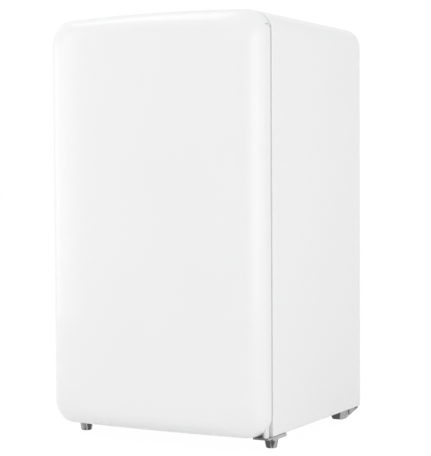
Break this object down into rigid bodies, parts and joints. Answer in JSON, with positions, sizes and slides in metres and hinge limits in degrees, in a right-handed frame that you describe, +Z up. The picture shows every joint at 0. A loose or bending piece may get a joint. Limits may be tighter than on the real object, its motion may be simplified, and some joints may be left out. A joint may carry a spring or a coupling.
{
  "type": "mini fridge",
  "caption": "Compact single-door refrigerator with a pillow-shaped door, glass shelves, a crisper drawer, door bins, levelling feet and an open compressor bay.",
  "frame": {"origin": "centre of the overall footprint, on the floor", "axes": "+X to the right seen from the front, +Y to the back, +Z up; the door faces -Y"},
  "size_m": [0.48, 0.512, 0.84],
  "materials": {
    "gloss_white_paint": "smooth gloss white powder coat",
    "galvanised_steel": "matt galvanised sheet",
    "zinc_plate": "zinc plated steel",
    "white_liner": "satin vacuum-formed plastic",
    "foam": "rigid insulating foam",
    "aluminium": "roll-bonded aluminium",
    "bright_steel": "bright steel",
    "grey_plastic": "grained grey plastic",
    "foot_metal": "dark nickel-plated steel",
    "black_paint": "satin black paint",
    "black_rubber": "matt rubber",
    "copper": "drawn copper",
    "coil_paint": "satin black paint on wire and tube",
    "seal_white": "soft white magnetic seal",
    "nylon": "natural nylon",
    "clear_bin": "clear blue-tinted plastic",
    "shelf_glass": "toughened glass",
    "white_trim": "satin white trim",
    "lamp_diffuser": "frosted diffuser"
  },
  "bodies": {
    "cabinet": {"cabinet_shell": "gloss_white_paint", "base_pan": "galvanised_steel", "back_panel": "galvanised_steel", "bay_panel": "galvanised_steel", "inner_liner": "white_liner", "shelf_rails": "white_liner", "cabinet_foam": "foam", "evaporator_plate": "aluminium", "upper_hinge_bracket": "gloss_white_paint", "lower_hinge_bracket": "zinc_plate", "hinge_pins": "bright_steel", "foot_bracket_left": "zinc_plate", "hinge_screws": "bright_steel", "rear_foot_left": "foot_metal", "rear_foot_right": "foot_metal", "compressor_plate": "galvanised_steel", "compressor_grommets": "black_rubber", "compressor_bolts": "bright_steel", "compressor": "black_paint", "terminal_cover": "grey_plastic", "filter_drier": "copper", "condenser_tube": "coil_paint", "condenser_wires": "coil_paint", "condenser_clips": "grey_plastic", "wall_spacers": "grey_plastic", "suction_tube": "copper", "capillary_tube": "copper", "discharge_tube": "copper", "drain_tray": "grey_plastic", "drain_tube": "nylon", "cord_gland": "black_rubber", "thermostat_housing": "white_liner", "thermostat_body": "grey_plastic", "lamp_lens": "lamp_diffuser"},
    "door": {"door_skin": "gloss_white_paint", "door_foam": "foam", "door_liner": "white_liner", "door_gasket": "seal_white", "upper_hinge_bush": "nylon", "lower_hinge_bush": "nylon", "hinge_pocket": "nylon", "grip_cup": "grey_plastic"},
    "bottle_bin": {"bottle_bin": "clear_bin"},
    "middle_bin": {"middle_bin": "clear_bin"},
    "top_bin": {"top_bin": "clear_bin"},
    "crisper_cover": {"crisper_glass": "shelf_glass", "crisper_trim": "white_trim"},
    "lower_shelf": {"lower_shelf_glass": "shelf_glass", "lower_shelf_trim": "white_trim"},
    "middle_shelf": {"middle_shelf_glass": "shelf_glass", "middle_shelf_trim": "white_trim"},
    "upper_shelf": {"upper_shelf_glass": "shelf_glass", "upper_shelf_trim": "white_trim"},
    "crisper_drawer": {"crisper_drawer": "clear_bin", "crisper_handle": "white_trim"},
    "thermostat_knob": {"thermostat_knob": "white_liner"},
    "foot_left": {"front_foot_left": "foot_metal", "front_stud_left": "bright_steel"},
    "foot_right": {"front_foot_right": "foot_metal", "front_stud_right": "bright_steel"}
  },
  "joints": [
    {"name": "door_hinge", "type": "hinge", "parent": "cabinet", "child": "door", "pos_m": [0.231, -0.201, 0.4], "axis": [0, 0, 1], "range_deg": [0, 115]},
    {"name": "bottle_bin_lift", "type": "slide", "parent": "door", "child": "bottle_bin", "axis": [0, 0, 1], "range_m": [0, 0.022]},
    {"name": "middle_bin_lift", "type": "slide", "parent": "door", "child": "middle_bin", "axis": [0, 0, 1], "range_m": [0, 0.022]},
    {"name": "top_bin_lift", "type": "slide", "parent": "door", "child": "top_bin", "axis": [0, 0, 1], "range_m": [0, 0.022]},
    {"name": "crisper_cover_slide", "type": "slide", "parent": "cabinet", "child": "crisper_cover", "axis": [0, -1, 0], "range_m": [0, 0.056]},
    {"name": "lower_shelf_slide", "type": "slide", "parent": "cabinet", "child": "lower_shelf", "axis": [0, -1, 0], "range_m": [0, 0.056]},
    {"name": "middle_shelf_slide", "type": "slide", "parent": "cabinet", "child": "middle_shelf", "axis": [0, -1, 0], "range_m": [0, 0.056]},
    {"name": "upper_shelf_slide", "type": "slide", "parent": "cabinet", "child": "upper_shelf", "axis": [0, -1, 0], "range_m": [0, 0.056]},
    {"name": "crisper_drawer_slide", "type": "slide", "parent": "cabinet", "child": "crisper_drawer", "axis": [0, -1, 0], "range_m": [0, 0.056]},
    {"name": "thermostat_turn", "type": "hinge", "parent": "cabinet", "child": "thermostat_knob", "pos_m": [0.1834, -0.078, 0.742], "axis": [0, -1, 0], "range_deg": [-270, 0]},
    {"name": "foot_left_screw", "type": "slide", "parent": "cabinet", "child": "foot_left", "axis": [0, 0, -1], "range_m": [0, 0.012]},
    {"name": "foot_right_screw", "type": "slide", "parent": "cabinet", "child": "foot_right", "axis": [0, 0, -1], "range_m": [0, 0.012]}
  ]
}
